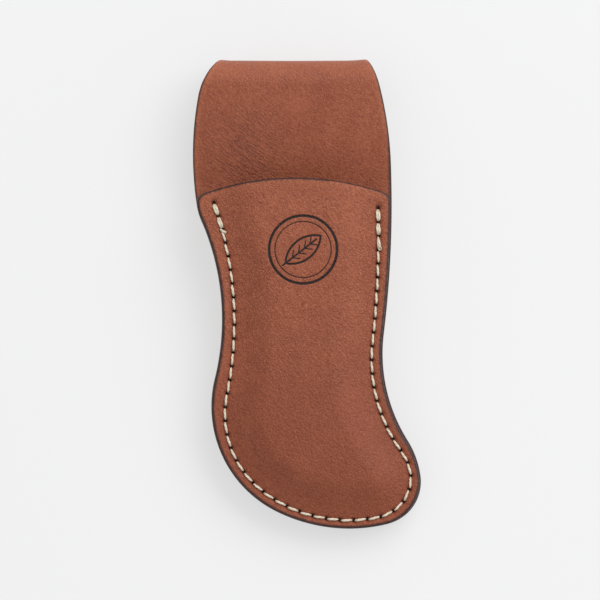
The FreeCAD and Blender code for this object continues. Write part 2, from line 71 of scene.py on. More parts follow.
MOUTH_RADIUS, MOUTH_X, MOUTH_Y, MOUTH_CORNER = 95.6, -1.9, 41.8, 3.4

MARK_CENTRE, MARK_REACH = np.array([0.7, 17.0]), 13.0   # the engraved mark
SEAM_TOP = 34.0                            # no seam above this Y

CROWN_HEIGHT = 3.9
CROWN_FOOT, CROWN_RIM = 0.6, 14.0          # how far in from the seam it starts and levels off
MOUTH_FALL, TOE_FALL = 0.34, 0.12          # shares of its height lost towards mouth and toe

RISE_START, RISE_TURN = 37.5, 12.0
RISE_RADIUS, EASE_RADIUS, CREST_RUN = 35.0, 110.0, 6.2
BEND_RADIUS, LOOP_RUN, TAIL_RUN, GLUE_GAP = 5.3, 50.0, 14.5, 0.1
TAIL_LEFT, TAIL_RIGHT, TAIL_CORNER = -20.8, 20.0, 6.0
FOLD_LEFT, FOLD_RIGHT = -28.0, 22.9        # ends of the fold's highest line
STRAP_CENTRE, TAPER_RUN = -3.0, 14.0       # middle of the strap; taper that is left past the fold
OUTLINE_END = 76.5                         # the strap's sides leave the outline at this Y

BOX_LEFT, BOX_RIGHT, BOX_LOW, BOX_HIGH = -16.5, 15.7, 12.5, 22.0
BOX_HOLES_ACROSS, BOX_HOLES_UP = 7, 2

RISE = (RISE_RADIUS + EASE_RADIUS) * (1 - math.cos(math.radians(RISE_TURN)))
RISE_RUN = (RISE_RADIUS + EASE_RADIUS) * math.sin(math.radians(RISE_TURN))
FOLD_Y = RISE_START + RISE_RUN + CREST_RUN
FOLD_Z = RISE - BEND_RADIUS
LOOP_DROP = 2 * BEND_RADIUS - RISE - GLUE_GAP
LOOP_TURN = 2 * math.degrees(math.atan(LOOP_DROP / LOOP_RUN))
LOOP_RADIUS = LOOP_RUN / (2 * math.sin(math.radians(LOOP_TURN)))


# ------------------------------------------------------------------ routes of tangent arcs

def lay_out(start, heading, steps):
    """Places arcs (radius, turn) and straight runs (None, length) one after another."""
    point, placed = np.array(start, float), []
    for radius, amount in steps:
        angle = math.radians(heading)
        if radius is None:
            step = dict(start=point, heading=heading, turn=0.0, length=amount)
            point = point + np.array([math.cos(angle), math.sin(angle)]) * amount
        else:
            side = math.copysign(radius, amount)
            centre = point + np.array([-math.sin(angle), math.cos(angle)]) * side
            step = dict(start=point, heading=heading, turn=amount, centre=centre, side=side,
                        length=radius * math.radians(abs(amount)))
            heading += amount
            angle = math.radians(heading)
            point = centre + np.array([math.sin(angle), -math.cos(angle)]) * side
        placed.append(step)
    return placed


def route_length(placed):
    return sum(step["length"] for step in placed)


def point_on(placed, distance):
    """The point and heading, in degrees, at a distance along a route."""
    for step in placed:
        if distance <= step["length"] or step is placed[-1]:
            break
        distance -= step["length"]
    heading = step["heading"] + step["turn"] * distance / step["length"]
    angle = math.radians(heading)
    if step["turn"] == 0.0:
        return step["start"] + np.array([math.cos(angle), math.sin(angle)]) * distance, heading
    return step["centre"] + np.array([math.sin(angle), -math.cos(angle)]) * step["side"], heading


def sample_route(placed, spacing):
    """Points spaced evenly along a route, and their headings."""
    length = route_length(placed)
    count = max(2, int(round(length / spacing)) + 1)
    both = [point_on(placed, length * i / (count - 1)) for i in range(count)]
    return np.array([point for point, _ in both]), np.array([heading for _, heading in both])


OUTLINE_ROUTE = lay_out(OUTLINE_START, OUTLINE_HEADING, OUTLINE)
SEAM_ROUTE = lay_out(SEAM_START, SEAM_HEADING, SEAM)
SEAM_LENGTH = route_length(SEAM_ROUTE)
PITCH = SEAM_LENGTH / (SEAM_HOLES - 1)
SEAM_POINTS = [point_on(SEAM_ROUTE, PITCH * i) for i in range(SEAM_HOLES)]

# The rear (flesh) face of the back panel seen from the side: (along, height), in pattern order
PROFILE_STEPS = [
    (None, RISE_START), (RISE_RADIUS, RISE_TURN), (EASE_RADIUS, -RISE_TURN), (None, CREST_RUN),
    (BEND_RADIUS, -180.0), (LOOP_RADIUS, -LOOP_TURN), (LOOP_RADIUS, LOOP_TURN), (None, TAIL_RUN),
]
PROFILE = lay_out((0.0, 0.0), 0.0, PROFILE_STEPS)


def stretch(step):
    """How long a step of the profile is at mid-thickness, compared with the flesh face."""
    if step["turn"] == 0.0:
        return 1.0
    return (step["side"] - BACK / 2) / step["side"]


MID_LENGTHS = [step["length"] * stretch(step) for step in PROFILE]
MID_STARTS = np.concatenate([[0.0], np.cumsum(MID_LENGTHS)])
FOLD_START, FOLD_END = MID_STARTS[4], MID_STARTS[5]
TAIL_END = MID_STARTS[-1]
FOLD_MIDDLE, TAPER_END = (FOLD_START + FOLD_END) / 2, FOLD_END + TAPER_RUN


def bend(s, height):
    """Where a point of the flat pattern, s along it and height above its flesh face, ends up.

    s is measured at mid-thickness from Y = 0; height is 0 on the flesh face and BACK on the
    grain face. Gives (y, z) arrays.
    """
    s, height = np.asarray(s, float), np.asarray(height, float)
    index = np.clip(np.searchsorted(MID_STARTS, s, side="right") - 1, 0, len(PROFILE) - 1)
    y, z = np.zeros_like(s), np.zeros_like(s)
    for number, step in enumerate(PROFILE):
        here = index == number
        part, rise = (s[here] - MID_STARTS[number]) / MID_LENGTHS[number], height[here]
        angle = np.radians(step["heading"] + step["turn"] * part)
        cosine, sine = np.cos(angle), np.sin(angle)
        if step["turn"] == 0.0:
            run = part * step["length"]
            y[here] = step["start"][0] + cosine * run - sine * rise
            z[here] = step["start"][1] + sine * run + cosine * rise
        else:
            reach = step["side"] - rise
            y[here] = step["centre"][0] + sine * reach
            z[here] = step["centre"][1] - cosine * reach
    return y, z


def pattern_s(y):
    """The place along the pattern of a point of the strap's front seen at y from the front."""
    table_s = np.linspace(0.0, FOLD_MIDDLE, 1200)
    table_y, _ = bend(table_s, np.full_like(table_s, BACK))
    return np.where(y < 0.0, y, np.interp(y, table_y, table_s))


# ------------------------------------------------------------------ resting position

def resting_matrix():
    """The sheath frame in millimetres to the row frame in metres, from the CAD boxes."""
    low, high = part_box("back_panel")
    points, _ = sample_route(OUTLINE_ROUTE, 0.2)
    toe = points[:, 1].min()
    radius = LOOP_RADIUS + BACK
    centre = (FOLD_Y - toe, FOLD_Z - BEND_RADIUS - BACK + radius)
    tilt = math.asin(radius / math.hypot(*centre)) - math.atan2(centre[1], centre[0])
    turn = Matrix.Rotation(tilt, 4, "X")
    fold = turn @ Vector((0.0, FOLD_Y, FOLD_Z))
    toe_low = turn @ Vector((0.0, toe, 0.0))
    move = Vector((
        high.x * 1000 - points[:, 0].max(),
        high.y * 1000 - fold.y - BEND_RADIUS - BACK,
        low.z * 1000 - toe_low.z,
    ))
    return Matrix.Scale(0.001, 4) @ Matrix.Translation(move) @ turn


REST = resting_matrix()


def add_mesh(name, points, faces, material, node, marks):
    """A piece from points in the sheath frame, standing for a CAD node; marks are per-point values."""
    mesh = bpy.data.meshes.new(name)
    rest = np.array(REST)
    placed = np.asarray(points, float) @ rest[:3, :3].T + rest[:3, 3]
    mesh.from_pydata(placed.tolist(), [], [list(map(int, face)) for face in faces])
    for mark, values in marks.items():
        layer = mesh.attributes.new(mark, "FLOAT", "POINT")
        layer.data.foreach_set("value", np.asarray(values, np.float32))
    mesh.update()
    for polygon in mesh.polygons:
        polygon.use_smooth = True
    piece = bpy.data.objects.new(name, mesh)
    bpy.context.scene.collection.objects.link(piece)
    mesh.materials.append(material)
    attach(piece, "root")
    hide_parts(node)


# ------------------------------------------------------------------ distances in the plane

def nearest(points, line, chunk=4000):
    """Each point's signed distance to a polyline (+ left of it), and the place along it."""
    start, end = line[:-1], line[1:]
    run = end - start
    length = np.hypot(run[:, 0], run[:, 1])
    before = np.concatenate([[0.0], np.cumsum(length)[:-1]])
    signed, along = np.empty(len(points)), np.empty(len(points))
    for first in range(0, len(points), chunk):
        part = points[first:first + chunk, None, :] - start[None]
        t = np.clip((part * run[None]).sum(2) / (length ** 2)[None], 0.0, 1.0)
        gap = part - run[None] * t[:, :, None]
        square = (gap ** 2).sum(2)
        best = square.argmin(1)
        rows = np.arange(len(best))
        side = np.sign(run[best, 0] * gap[rows, best, 1] - run[best, 1] * gap[rows, best, 0])
        signed[first:first + chunk] = side * np.sqrt(square[rows, best])
        along[first:first + chunk] = before[best] + t[rows, best] * length[best]
    return signed, along


def inside(points, loop):
    """Which points lie inside a closed loop."""
    x, y = points[:, 0], points[:, 1]
    result = np.zeros(len(points), bool)
    for (x1, y1), (x2, y2) in zip(loop, np.roll(loop, -1, axis=0)):
        if y1 == y2:
            continue
        crosses = (y1 > y) != (y2 > y)
        result ^= crosses & (x < (x2 - x1) * (y - y1) / (y2 - y1) + x1)
    return result


def respace(loop, spacing):
    """The same closed line with evenly spaced points."""
    line = np.vstack([loop, loop[:1]])
    lengths = np.hypot(*np.diff(line, axis=0).T)
    place = np.concatenate([[0.0], np.cumsum(lengths)])
    count = int(round(place[-1] / spacing))
    wanted = np.linspace(0.0, place[-1], count + 1)[:-1]
    return np.column_stack([np.interp(wanted, place, line[:, 0]), np.interp(wanted, place, line[:, 1])])


def inward_normals(loop):
    """Unit normals to the left of a counter-clockwise closed loop."""
    tangent = np.roll(loop, -1, axis=0) - np.roll(loop, 1, axis=0)
    tangent /= np.hypot(*tangent.T)[:, None]
    return np.column_stack([-tangent[:, 1], tangent[:, 0]])


def smooth_step(value):
    value = np.clip(value, 0.0, 1.0)
    return value * value * (3 - 2 * value)


def ramp(value, start, end):
    """Rises smoothly from 0 at start to 1 at end; start may be the larger."""
    return smooth_step((value - start) / (end - start))


def bell(value, width, power=2):
    """1 where the value is 0, falling to 0 beyond the width."""
    return np.exp(-(value / width) ** power)


def patch(points, centre, reach):
    """A soft elliptical patch, 1 in its middle."""
    return np.exp(-(((points - np.array(centre)) / np.array(reach)) ** 2).sum(1))


def step_in(loop, elsewhere, on_right):
    """Moves a loop inward, by another amount where its edge faces right."""
    normals = inward_normals(loop)
    share = smooth_step(-normals[:, 0] * 1.2)
    return loop + normals * (elsewhere + (on_right - elsewhere) * share)[:, None]


def edge_distance(plan, loop):
    """How far each plan point is from a closed loop."""
    signed, _ = nearest(plan, np.vstack([loop, loop[:1]]))
    return np.abs(signed)


def round_corner(before, corner, after, radius, count=10):
    """An arc of that radius that rounds a corner of two nearly straight lines."""
    to_before = (before - corner) / np.hypot(*(before - corner))
    to_after = (after - corner) / np.hypot(*(after - corner))
    half = math.acos(np.clip(to_before @ to_after, -1, 1)) / 2
    reach = radius / math.tan(half)
    middle = to_before + to_after
    centre = corner + middle / np.hypot(*middle) * (radius / math.sin(half))
    first, last = corner + to_before * reach - centre, corner + to_after * reach - centre
    start, end = math.atan2(first[1], first[0]), math.atan2(last[1], last[0])
    sweep = (end - start + math.pi) % (2 * math.pi) - math.pi
    angles = start + sweep * np.linspace(0, 1, count)
    return centre + radius * np.column_stack([np.cos(angles), np.sin(angles)])


# ------------------------------------------------------------------ slabs of leather

def slab(loop, extra, spacing, radius, skip=None):
    """Triangulates a slab's plan: rings along its edge, then a fill.

    loop is counter-clockwise, extra holds points of finer mesh, and skip says where the grid is
    left out for them. Gives the plan points, the triangles of one face, the number of edge
    points, and the drop of each point below a face where the edge is rounded.
    """
    normals = inward_normals(loop)
    angles = np.radians([0.0, 20.0, 42.0, 65.0, 90.0])
    insets = [radius * (1 - math.cos(angle)) for angle in angles]
    drops = [radius * (1 - math.sin(angle)) for angle in angles]
    for more in (0.45, 1.0):               # two more rings, on the flat
        insets.append(radius + more)
        drops.append(0.0)
    rings = [loop + normals * inset for inset in insets]
    drop = np.concatenate([np.full(len(loop), value) for value in drops])
    low, high = loop.min(0), loop.max(0)
    columns = np.arange(low[0], high[0], spacing)
    rows = np.arange(low[1], high[1], spacing * 0.87)
    grid = np.array([(x + (spacing / 2 if j % 2 else 0), y) for j, y in enumerate(rows) for x in columns])
    grid = grid[inside(grid, rings[-1] + normals * spacing * 0.55)]
    if skip is not None:
        grid = grid[~skip(grid)]
    if len(extra):
        extra = extra[inside(extra, rings[-1] + normals * 0.12)]
    fill = np.vstack([grid, extra]) if len(extra) else grid
    everything = np.vstack(rings + [fill])
    count = len(loop)
    edges = [(i, (i + 1) % count) for i in range(count)]
    result = delaunay_2d_cdt([Vector(p) for p in everything.tolist()], edges, [], 1, 1e-5)
    plan = np.array([tuple(v) for v in result[0]])
    triangles = np.array([tuple(face) for face in result[2]])
    if len(plan) != len(everything):
        raise RuntimeError("the plan's points were merged or split")
    return plan, triangles, count, np.concatenate([drop, np.zeros(len(fill))])


def close_slab(triangles, count, total):
    """Faces of a closed slab: upper face, lower face turned over, and the wall between."""
    upper = triangles.tolist()
    lower = [(a + total, c + total, b + total) for a, b, c in upper]
    wall = []
    for i in range(count):
        j = (i + 1) % count
        wall.append((i, i + total, j + total, j))
    return upper + lower + wall


def on_faces(upper, lower=0.0):
    """A mark's values on a slab: one for each point of its upper face, then of its lower."""
    return np.concatenate([upper, np.broadcast_to(lower, np.shape(upper))])


def seam_band(route, length, spacing, offsets):
    """Points in rows along a route, for the fine mesh at a seam."""
    count = int(round(length / spacing))
    result = []
    for i in range(count + 1):
        point, heading = point_on(route, length * i / count)
        angle = math.radians(heading)
        across = np.array([-math.sin(angle), math.cos(angle)])
        result += [point + across * offset for offset in offsets]
    return np.array(result)


def box_points():
    """The box seam's holes and headings, corner holes once."""
    corners = np.array([
        (BOX_LEFT, BOX_LOW), (BOX_RIGHT, BOX_LOW), (BOX_RIGHT, BOX_HIGH), (BOX_LEFT, BOX_HIGH),
    ])
    points = []
    for side, count in enumerate((BOX_HOLES_ACROSS, BOX_HOLES_UP) * 2):
        start, end = corners[side], corners[(side + 1) % 4]
        points += [(start + (end - start) * (i / count), 90.0 * side) for i in range(count)]
    return points


BAND_SIDE = [0.15, 0.35, 0.55, 0.75, 0.95, 1.2, 1.5]
BAND_OFFSETS = np.array([-offset for offset in reversed(BAND_SIDE)] + [0.0] + BAND_SIDE)
SEAM_LINE, _ = sample_route(SEAM_ROUTE, 0.5)
OUTLINE_LINE, _ = sample_route(OUTLINE_ROUTE, 0.5)
HOLES = np.array([point for point, _ in SEAM_POINTS])
BOX_HOLES = np.array([point for point, _ in box_points()])


def hole_pull(points, holes, width):
    """1 at the middle of each hole, falling to 0 away from it."""
    result = np.zeros(len(points))
    for hole in holes:
        near = np.abs(points - hole).max(1) < 3 * width
        square = ((points[near] - hole) ** 2).sum(1)
        result[near] = np.maximum(result[near], np.exp(-square / width ** 2))
    return result


# ------------------------------------------------------------------ materials

def node_material(name):
    material = bpy.data.materials.new(name)
    material.use_nodes = True
    tree = material.node_tree
    return material, tree, tree.nodes["Principled BSDF"]


class Nodes:
    """Short ways to add and link shader nodes."""

    def __init__(self, tree):
        self.tree = tree

    def new(self, kind, **settings):
        node = self.tree.nodes.new(kind)
        for key, value in settings.items():
            setattr(node, key, value)
        return node

    def put(self, socket, value):
        if isinstance(value, bpy.types.NodeSocket):
            self.tree.links.new(value, socket)
        else:
            socket.default_value = value

    def position(self):
        return self.new("ShaderNodeTexCoord").outputs["Object"]

    def attribute(self, name):
        return self.new("ShaderNodeAttribute", attribute_name=name).outputs["Fac"]

    def noise(self, vector, scale, detail=4.0, rough=0.5, distortion=0.0):
        node = self.new("ShaderNodeTexNoise")
        self.put(node.inputs["Vector"], vector)
        settings = (("Scale", scale), ("Detail", detail), ("Roughness", rough), ("Distortion", distortion))
        for key, value in settings:
            self.put(node.inputs[key], value)
        return node.outputs["Fac"]

    def cells(self, vector, scale):
        node = self.new("ShaderNodeTexVoronoi")
        self.put(node.inputs["Vector"], vector)
        self.put(node.inputs["Scale"], scale)
        return node.outputs["Distance"]

    def stretch(self, vector, scale, turn=0.0):
        """Drawn out by scale along axes turned about Z, in degrees."""
        node = self.new("ShaderNodeMapping", vector_type="TEXTURE")
        self.put(node.inputs["Vector"], vector)
        self.put(node.inputs["Scale"], scale)
        self.put(node.inputs["Rotation"], (0, 0, math.radians(turn)))
        return node.outputs["Vector"]

    def math(self, operation, first, second=0.0, clamp=False):
        node = self.new("ShaderNodeMath", operation=operation, use_clamp=clamp)
        self.put(node.inputs[0], first)
        self.put(node.inputs[1], second)
        return node.outputs[0]

    def remap(self, value, low, high, to_low=0.0, to_high=1.0):
        node = self.new("ShaderNodeMapRange")
        for index, item in enumerate((value, low, high, to_low, to_high)):
            self.put(node.inputs[index], item)
        return node.outputs[0]

    def mix(self, factor, first, second):
        node = self.new("ShaderNodeMix", data_type="RGBA")
        self.put(node.inputs["Factor"], factor)
        self.put(node.inputs["A"], first)
        self.put(node.inputs["B"], second)
        return node.outputs["Result"]

    def bump(self, height, strength, distance, before=None):
        node = self.new("ShaderNodeBump")
        self.put(node.inputs["Height"], height)
        self.put(node.inputs["Strength"], strength)
        self.put(node.inputs["Distance"], distance)
        if before is not None:
            self.put(node.inputs["Normal"], before)
        return node.outputs["Normal"]


def rgb(red, green, blue):
    """A linear colour from an sRGB one of 0 to 255."""
    def linear(value):
        value /= 255
        return value / 12.92 if value <= 0.04045 else ((value + 0.055) / 1.055) ** 2.4
    return (linear(red), linear(green), linear(blue), 1.0)


LEATHER = rgb(149, 79, 52)
LEATHER_DARK = rgb(121, 54, 30)
LEATHER_LIGHT = rgb(176, 103, 72)
SPECK = rgb(98, 48, 34)
# painted shade for the crease lines
CREASE_SHADE = rgb(104, 50, 36)
BURNISH = rgb(42, 21, 18)
BURNISH_GREY = rgb(66, 42, 38)
FLESH = rgb(158, 110, 80)
FLESH_DARK = rgb(126, 82, 58)
FLESH_LIGHT = rgb(176, 130, 98)
MARK = rgb(26, 14, 12)
# painted shade inside the stitch holes
HOLE_SHADE = rgb(22, 11, 8)
THREAD = rgb(245, 238, 220)
THREAD_DARK = rgb(212, 200, 174)
THREAD_WAX = rgb(216, 196, 160)
# painted shade where the thread sinks into the holes
THREAD_SHADE = rgb(120, 92, 62)
FLOOR = rgb(153, 153, 154)
FLOOR_DARK = rgb(150, 150, 151)


def leather_material():
    """Grain, flesh side, burnished edge, holes and engraving, by the marks on the mesh.

    Marks: edge (burnish), hole (painted shade in the stitch holes), mark (engraving), flesh (rough
    rear face), rub (lighter: rubbed wear and painted highlight), dim (painted shade along the
    sewing channel and towards the toe), crease (fine slanting creases, with painted shade in them),
    grain (how pebbled it is). A mark that a mesh doesn't have reads as 0.
    """
    material, tree, shader = node_material("leather_chestnut")
    n = Nodes(tree)
    place = n.position()
    broad = n.noise(place, 30.0, 3.0, 0.5)
    clouds = n.noise(place, 110.0, 5.0, 0.62)
    fibres = n.noise(n.stretch(place, (1.0, 2.0, 1.0), 35), 1150.0, 4.0, 0.65)
    fine = n.noise(place, 2300.0, 3.0, 0.65)
    specks = n.noise(place, 640.0, 3.0, 0.5)
    pores = n.cells(place, 1300.0)
    creases = n.noise(n.stretch(place, (1.0, 6.0, 1.0), 52), 1600.0, 2.0, 0.5, 0.6)
    colour = n.mix(n.remap(broad, 0.36, 0.64), n.mix(0.35, LEATHER, LEATHER_DARK), LEATHER)
    colour = n.mix(n.remap(clouds, 0.42, 0.75, 0.0, 0.3), colour, LEATHER_LIGHT)
    colour = n.mix(n.remap(clouds, 0.25, 0.5, 0.3, 0.0), colour, LEATHER_DARK)
    colour = n.mix(n.remap(fibres, 0.38, 0.56, 0.6, 0.0), colour, LEATHER_DARK)
    pebbled = n.remap(n.attribute("grain"), 0.0, 1.0, 0.75, 1.25)
    light_grain = n.math("MULTIPLY", n.remap(fine, 0.5, 0.66, 0.0, 0.95), pebbled, clamp=True)
    colour = n.mix(light_grain, colour, LEATHER_LIGHT)
    colour = n.mix(n.remap(pores, 0.0, 0.35, 0.35, 0.0), colour, LEATHER_DARK)
    colour = n.mix(n.remap(specks, 0.64, 0.74, 0.0, 0.35), colour, SPECK)
    crease = n.math("MULTIPLY", n.remap(creases, 0.42, 0.56, 1.0, 0.0), n.attribute("crease"))
    # painted shade in the crease lines
    colour = n.mix(n.math("MULTIPLY", crease, 0.45), colour, CREASE_SHADE)
    # lighter on the rim, wrinkle lines and fold crest: rubbed wear plus painted highlight
    colour = n.mix(n.math("MULTIPLY", n.attribute("wear_and_highlight"), 0.5), colour, LEATHER_LIGHT)
    # painted shade: darker along the sewing channel and towards the toe, where less light falls
    colour = n.mix(n.math("MULTIPLY", n.attribute("painted_shade"), 0.6), colour, LEATHER_DARK)

    nap = n.noise(place, 1400.0, 5.0, 0.75)
    flesh = n.mix(n.remap(nap, 0.3, 0.7), FLESH_DARK, FLESH)
    flesh = n.mix(n.remap(clouds, 0.35, 0.7, 0.0, 0.5), flesh, FLESH_LIGHT)
    colour = n.mix(n.attribute("flesh"), colour, flesh)

    edge = n.attribute("edge")
    layers = n.noise(n.stretch(place, (1.0, 1.0, 0.15)), 420.0, 3.0, 0.6)
    burnish = n.mix(n.remap(layers, 0.35, 0.7), BURNISH, BURNISH_GREY)
    ragged = n.math("ADD", edge, n.remap(specks, 0.3, 0.7, -0.12, 0.12))
    colour = n.mix(n.remap(ragged, 0.08, 0.85), colour, burnish)
    colour = n.mix(n.remap(n.attribute("mark"), 0.3, 0.7), colour, MARK)
    # painted shade in the stitch holes
    colour = n.mix(n.remap(n.attribute("hole"), 0.35, 0.72), colour, HOLE_SHADE)
    n.put(shader.inputs["Base Color"], colour)

    rough = n.remap(clouds, 0.3, 0.7, 0.46, 0.6)
    rough = n.math("ADD", rough, n.math("MULTIPLY", n.attribute("flesh"), 0.35), clamp=True)
    rough = n.math("SUBTRACT", rough, n.math("MULTIPLY", edge, 0.12), clamp=True)
    n.put(shader.inputs["Roughness"], rough)
    shader.inputs["Specular IOR Level"].default_value = 0.35
    shader.inputs["Sheen Weight"].default_value = 0.04
    shader.inputs["Sheen Roughness"].default_value = 0.5

    grain = n.math("ADD", n.math("MULTIPLY", fibres, 0.7), n.math("MULTIPLY", fine, 0.6))
    grain = n.math("ADD", grain, n.math("MULTIPLY", pores, 0.6))
    grain = n.math("SUBTRACT", n.math("MULTIPLY", grain, pebbled), n.math("MULTIPLY", crease, 0.5))
    hair = n.math("MULTIPLY", n.math("MULTIPLY", nap, 2.4), n.attribute("flesh"))
    normal = n.bump(n.math("ADD", grain, hair), 0.8, 0.0003)
    normal = n.bump(clouds, 0.3, 0.0008, normal)
    n.put(shader.inputs["Normal"], normal)
    return material


def thread_material():
    """Waxed cream thread, with painted shade at the ends of each stitch, where it sinks into a hole."""
    material, tree, shader = node_material("thread_cream")
    n = Nodes(tree)
    place = n.position()
    fibre = n.noise(place, 5200.0, 3.0, 0.6)
    tint = n.noise(place, 300.0, 2.0, 0.5)
    colour = n.mix(n.remap(fibre, 0.3, 0.7), THREAD_DARK, THREAD)
    colour = n.mix(n.remap(tint, 0.4, 0.7, 0.0, 0.3), colour, THREAD_WAX)
    # painted shade where the thread sinks into the holes
    colour = n.mix(n.math("MULTIPLY", n.attribute("stitch_shade"), 0.85), colour, THREAD_SHADE)
    n.put(shader.inputs["Base Color"], colour)
    shader.inputs["Roughness"].default_value = 0.55
    shader.inputs["Sheen Weight"].default_value = 0.2
    n.put(shader.inputs["Normal"], n.bump(fibre, 0.35, 0.00008))
    return material


LEATHER_MATERIAL = leather_material()
THREAD_MATERIAL = thread_material()


# ------------------------------------------------------------------ front panel

def mouth_height(x):
    """Y of the arched mouth at x."""
    return MOUTH_Y - MOUTH_RADIUS + np.sqrt(MOUTH_RADIUS ** 2 - (x - MOUTH_X) ** 2)


def pouch_loop(spacing):
    """The plan of front panel and welt: the outline cut off by the mouth, corners rounded."""
    below = OUTLINE_LINE[OUTLINE_LINE[:, 1] < mouth_height(OUTLINE_LINE[:, 0])]
    left, right = below[0], below[-1]
    xs = np.linspace(right[0], left[0], 160)[1:-1]
    arch = np.column_stack([xs, mouth_height(xs)])
    away = 12                              # points from a corner that give its sides' direction
    right_corner = round_corner(below[-away], right, arch[away], MOUTH_CORNER)
    left_corner = round_corner(arch[-away], left, below[away], MOUTH_CORNER)
    cut = 2.6                              # the corners' arcs stand in for the lines this near
    along = below[(np.hypot(*(below - right).T) > cut) & (np.hypot(*(below - left).T) > cut)]
    over = arch[(np.hypot(*(arch - right).T) > cut) & (np.hypot(*(arch - left).T) > cut)]
    return respace(np.vstack([along, right_corner, over, left_corner]), spacing)


def from_mark(points):
    """Distance from the middle of the engraved mark."""
    return np.hypot(*(points - MARK_CENTRE).T)


def mark_field(points):
    """The engraved mark, a plain ring round a simple leaf: 1 on its lines, 0 off them."""
    ring, inner_ring, line = 11.6, 9.6, 0.55
    u, v = rotate(points - MARK_CENTRE, -38.0)
    radial = from_mark(points)
    distance = np.minimum(np.abs(radial - ring) - line * 0.8, np.abs(radial - inner_ring) - line * 0.3)
    half_length, half_width = 7.6, 3.5
    radius = (half_length ** 2 + half_width ** 2) / (2 * half_width)
    shift = radius - half_width
    blade = np.maximum(np.hypot(u, v - shift), np.hypot(u, v + shift)) - radius
    distance = np.minimum(distance, np.abs(blade) - line * 0.62)
    off = 9.0                              # a distance that is on no line
    rib = np.where((u > -off) & (u < half_length - 1.6), np.abs(v), off)
    distance = np.minimum(distance, rib - line * 0.5)
    along, across, vein_length = 0.72, 0.69, 2.6
    for start in (-4.6, -2.0, 0.6, 3.0):
        for side in (-1, 1):
            a, b = u - start, v * side
            t = np.clip(a * along + b * across, 0.0, vein_length)
            vein = np.hypot(a - along * t, b - across * t) - line * 0.34
            distance = np.minimum(distance, np.where(blade < -0.35, vein, off))
    return np.where(radial < MARK_REACH, np.clip(0.5 - distance / 0.28, 0.0, 1.0), 0.0)


def rotate(points, degrees):
    """The points' two coordinates, turned about 0."""
    cosine, sine = math.cos(math.radians(degrees)), math.sin(math.radians(degrees))
    return points[:, 0] * cosine - points[:, 1] * sine, points[:, 0] * sine + points[:, 1] * cosine


def crown(points):
    """Height of the formed crown above the rim, falling a little towards mouth and toe."""
    signed, _ = nearest(points, CROWN_LINE)
    height = CROWN_HEIGHT * ramp(signed, CROWN_FOOT, CROWN_RIM)
    y = points[:, 1]
    return height * (1 - MOUTH_FALL * ramp(y, 8.0, 40.0)) * (1 - TOE_FALL * ramp(y, -42.0, -70.0))


def crown_line():
    """The seam's line with straight leads up past the mouth."""
    first = math.radians(SEAM_HEADING)
    last = math.radians(SEAM_HEADING + sum(turn for _, turn in SEAM))
    lead = 20.0
    up = SEAM_LINE[0] - lead * np.array([math.cos(first), math.sin(first)])
    out = SEAM_LINE[-1] + lead * np.array([math.cos(last), math.sin(last)])
    return np.vstack([up, SEAM_LINE, out])


CROWN_LINE = crown_line()
WAVES = [
    (noise.uniform(0, 6.28), noise.uniform(0, 6.28), noise.uniform(0.04, 0.12), noise.uniform(-0.1, 0.1))
    for _ in range(8)
]


def waviness(points, size):
    """Slow unevenness of hand-worked leather, in millimetres."""
    total = np.zeros(len(points))
    for phase, other, fx, fy in WAVES:
        total += np.sin(points[:, 0] * fx * 2 + points[:, 1] * fy + phase + other)
    return total / len(WAVES) * size


